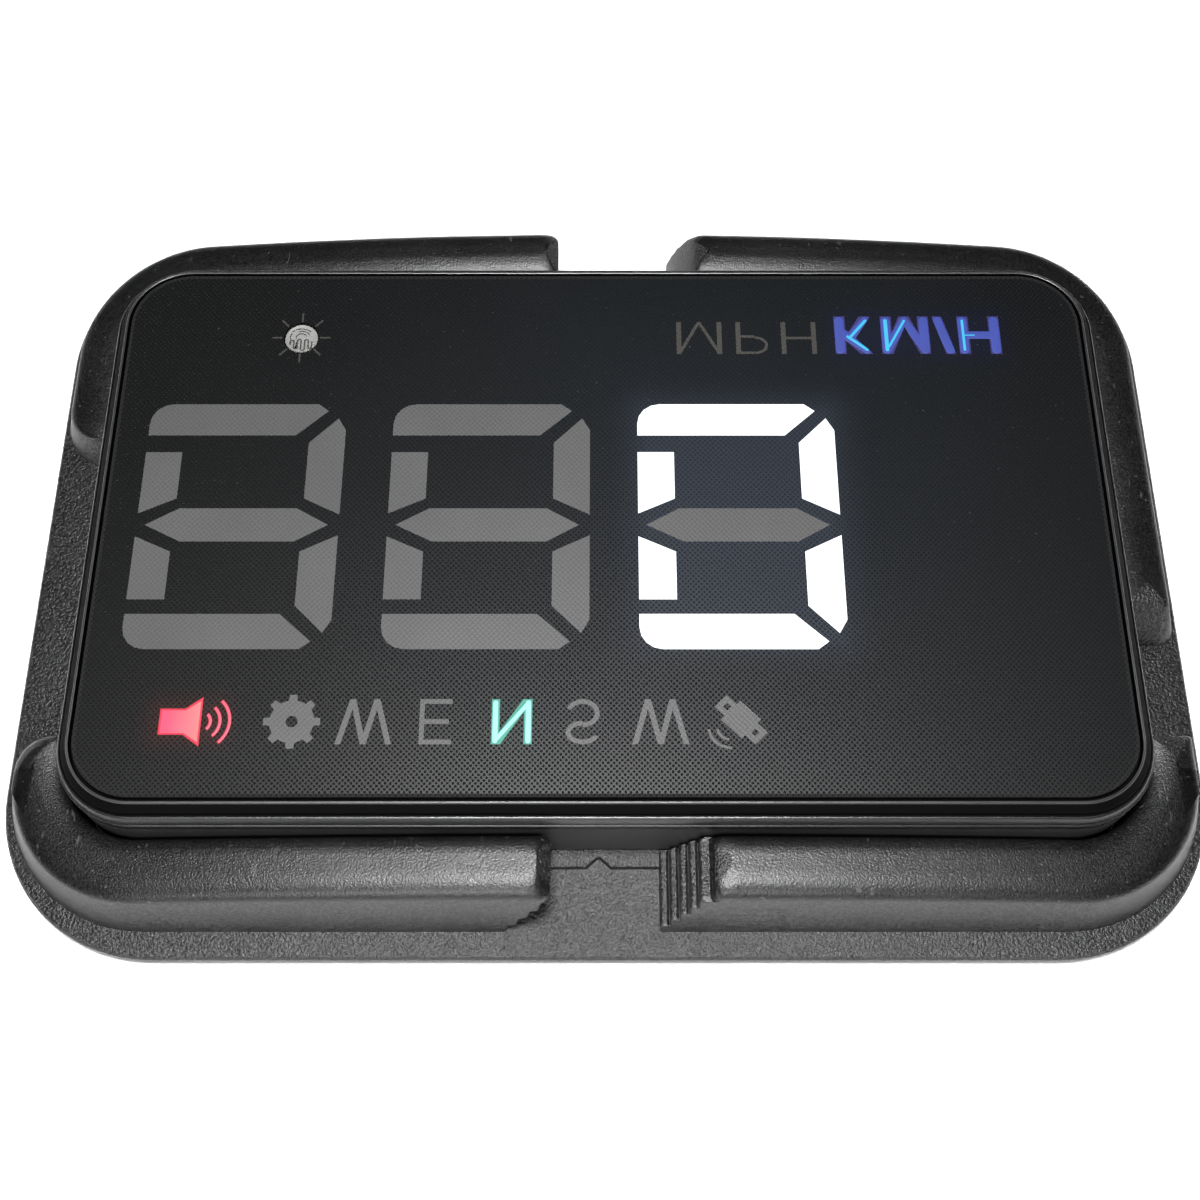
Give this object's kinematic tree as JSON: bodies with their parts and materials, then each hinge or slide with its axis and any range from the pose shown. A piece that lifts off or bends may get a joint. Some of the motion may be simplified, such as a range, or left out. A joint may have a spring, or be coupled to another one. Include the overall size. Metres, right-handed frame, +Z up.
{
  "type": "head-up speed display",
  "caption": "Flat dashboard head-up speed display with mirrored seven-segment digits, lying in a moulded rubber dash tray with corner walls and slanted slots.",
  "frame": {"origin": "middle of the tray's underside, on the surface that it rests on", "axes": "+X to the right, +Y towards the windscreen, +Z up"},
  "size_m": [0.1784, 0.124, 0.0195],
  "materials": {
    "tray_rubber": "fine sand-blast grain",
    "case_plastic": "satin",
    "bezel_plastic": "polished",
    "lens_plastic": "gloss over a fine weave",
    "mark_dark": "unlit window",
    "mark_faint": "unlit faint window",
    "mark_white": "lit window",
    "mark_blue": "lit window",
    "mark_cyan": "lit window",
    "mark_red": "lit window",
    "sensor_face": "satin, with a winding track",
    "black_plastic": "satin",
    "white_plastic": "matt",
    "board": "solder mask",
    "chip": "matt",
    "bare_metal": "satin",
    "led": "phosphor",
    "ceramic_part": "matt",
    "cell_pouch": "pouch foil",
    "lead": "insulation",
    "foam": "closed-cell foam",
    "tape": "double-sided tape",
    "silicon": "solar cell",
    "feet_rubber": "matt"
  },
  "bodies": {
    "tray": {"dash_tray": "tray_rubber"},
    "display": {"lower_case": "case_plastic", "top_bezel": "bezel_plastic", "lens_gasket": "foam", "lens_panel": "lens_plastic", "digit_hundreds": "mark_dark", "digit_tens": "mark_dark", "digit_units_lit": "mark_white", "digit_units_bar": "mark_dark", "unit_mark_mph": "mark_faint", "unit_mark_kmh": "mark_blue", "compass_marks": "mark_dark", "compass_mark_north": "mark_cyan", "icon_sound": "mark_red", "icon_settings": "mark_dark", "icon_satellite": "mark_dark", "sun_mark": "mark_faint", "light_sensor": "sensor_face", "sensor_sleeve": "black_plastic", "diffuser_sheet": "white_plastic", "reflector_block": "white_plastic", "segment_leds": "led", "icon_leds": "led", "main_board": "board", "gps_antenna": "ceramic_part", "gps_receiver": "bare_metal", "microcontroller": "chip", "compass_chip": "chip", "charger_chip": "chip", "power_inductor": "chip", "capacitors": "ceramic_part", "backup_cell": "bare_metal", "buzzer": "black_plastic", "battery": "cell_pouch", "battery_tape": "tape", "battery_leads": "lead", "lead_connector": "white_plastic", "solar_cell": "silicon", "solar_foam": "foam", "solar_leads": "lead", "usb_socket": "bare_metal", "power_switch": "black_plastic", "menu_switch": "black_plastic", "case_screws": "bare_metal", "board_screws": "bare_metal", "rubber_feet": "feet_rubber"},
    "slider": {"power_slider": "black_plastic"},
    "plunger": {"menu_plunger": "bare_metal"},
    "lever": {"menu_lever": "white_plastic"}
  },
  "joints": [
    {"name": "display_lift", "type": "slide", "parent": "tray", "child": "display", "axis": [0, 0, 1], "range_m": [0, 0.04]},
    {"name": "power_slide", "type": "slide", "parent": "display", "child": "slider", "axis": [0, -1, 0], "range_m": [0, 0.002]},
    {"name": "menu_press", "type": "slide", "parent": "display", "child": "plunger", "axis": [-1, 0, 0], "range_m": [0, 0.0004], "stiffness_N_per_m": 800},
    {"name": "menu_tilt", "type": "hinge", "parent": "plunger", "child": "lever", "pos_m": [0.0726, -0.0222, 0.0109], "axis": [0, 0, 1], "range_deg": [-12, 12], "stiffness_Nm_per_rad": 0.01}
  ]
}
